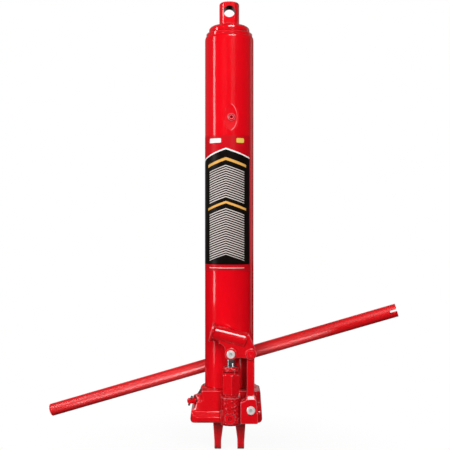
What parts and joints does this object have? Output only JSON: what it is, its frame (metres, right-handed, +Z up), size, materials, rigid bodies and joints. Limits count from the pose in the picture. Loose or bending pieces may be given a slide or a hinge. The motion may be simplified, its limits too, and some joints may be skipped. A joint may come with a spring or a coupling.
{
  "type": "long ram hydraulic jack",
  "caption": "Long hydraulic ram in a tall painted reservoir tube, with a hand pump, release valve, clevis base, ram eye and a separate handle tube behind it.",
  "frame": {"origin": "centre of the lower pin hole, between the two ears of the base clevis", "axes": "+Z up along the ram, -Y towards the hand pump, +X to the right when the pump faces the viewer"},
  "size_m": [0.5246, 0.1805, 0.6435],
  "materials": {
    "red_paint": "high gloss",
    "machined_steel": "machined",
    "dark_steel": "oiled",
    "zinc": "bright plated",
    "rubber": "moulded",
    "copper": "annealed",
    "bronze": "turned"
  },
  "bodies": {
    "jack": {"base_casting": "red_paint", "reservoir_tube": "red_paint", "tube_gasket": "rubber", "pressure_cylinder": "machined_steel", "cylinder_gasket": "copper", "tank_top_ring": "red_paint", "tank_gasket": "rubber", "top_nut": "red_paint", "wiper_seal": "rubber", "ram_gland": "bronze", "gland_seal": "rubber", "filler_bung": "machined_steel", "filler_plug": "red_paint", "pump_cylinder": "red_paint", "pump_gasket": "copper", "plunger_packing": "rubber", "plunger_wiper": "dark_steel", "port_plug": "red_paint", "delivery_cage": "bronze", "intake_filter": "bronze", "overload_spring": "machined_steel", "overload_screw": "dark_steel", "release_packing": "rubber", "release_stop_pin": "dark_steel", "link_foot_pin": "zinc"},
    "piston": {"piston_cup_seal": "rubber", "piston_backup_ring": "bronze"},
    "ram": {"ram_rod": "zinc", "ram_eye": "red_paint", "piston_head": "machined_steel", "piston_locknut": "dark_steel"},
    "plunger": {"pump_plunger": "zinc"},
    "link": {"link": "red_paint"},
    "lever": {"lever": "red_paint", "plunger_pin": "zinc", "plunger_pin_clip": "dark_steel", "link_rivet": "red_paint"},
    "release_ball": {"release_ball": "machined_steel"},
    "release_screw": {"release_screw": "red_paint", "release_cross_pin": "dark_steel"},
    "suction_ball": {"suction_ball": "machined_steel"},
    "delivery_ball": {"delivery_ball": "machined_steel"},
    "overload_ball": {"overload_ball": "machined_steel"},
    "pump_handle": {"pump_handle": "red_paint"}
  },
  "joints": [
    {"name": "ram_lift", "type": "slide", "parent": "jack", "child": "piston", "axis": [0, 0, 1], "range_m": [0, 0.495]},
    {"name": "ram_turn", "type": "hinge", "parent": "piston", "child": "ram", "pos_m": [0, 0, 0.3], "axis": [0, 0, 1], "continuous": true},
    {"name": "link_swing", "type": "hinge", "parent": "jack", "child": "link", "pos_m": [0.0293, -0.052, 0.0554], "axis": [0, 1, 0], "range_deg": [-3.7, 0]},
    {"name": "lever_tilt", "type": "hinge", "parent": "link", "child": "lever", "pos_m": [0.0293, -0.052, 0.132], "axis": [0, 1, 0], "range_deg": [0, 38]},
    {"name": "plunger_stroke", "type": "slide", "parent": "jack", "child": "plunger", "axis": [0, 0, 1], "range_m": [0, 0.0156]},
    {"name": "release_travel", "type": "slide", "parent": "jack", "child": "release_ball", "axis": [-0.9063, -0.4226, 0], "range_m": [0, 0.00187]},
    {"name": "release_turn", "type": "hinge", "parent": "release_ball", "child": "release_screw", "pos_m": [-0.0298, -0.0213, 0.0626], "axis": [-0.9063, -0.4226, 0], "range_deg": [0, 450]},
    {"name": "suction_lift", "type": "slide", "parent": "jack", "child": "suction_ball", "axis": [0, -1, 0], "range_m": [0, 0.001]},
    {"name": "delivery_lift", "type": "slide", "parent": "jack", "child": "delivery_ball", "axis": [0, 0, 1], "range_m": [0, 0.001]},
    {"name": "overload_lift", "type": "slide", "parent": "jack", "child": "overload_ball", "axis": [0, 0, -1], "range_m": [0, 0.001], "stiffness_N_per_m": 20000, "springref_m": -0.002, "deforming": ["overload_spring"]},
    {"name": "handle_pickup", "type": "slide", "parent": "jack", "child": "pump_handle", "axis": [0, 1, 0], "range_m": [0, 0.15]}
  ],
  "couplings": [
    {"joint": "link_swing", "follows": "lever_tilt", "ratio": -0.095196},
    {"joint": "plunger_stroke", "follows": "lever_tilt", "m_per_rad": 0.023355},
    {"joint": "release_turn", "follows": "release_travel", "rad_per_m": 4188.8}
  ]
}
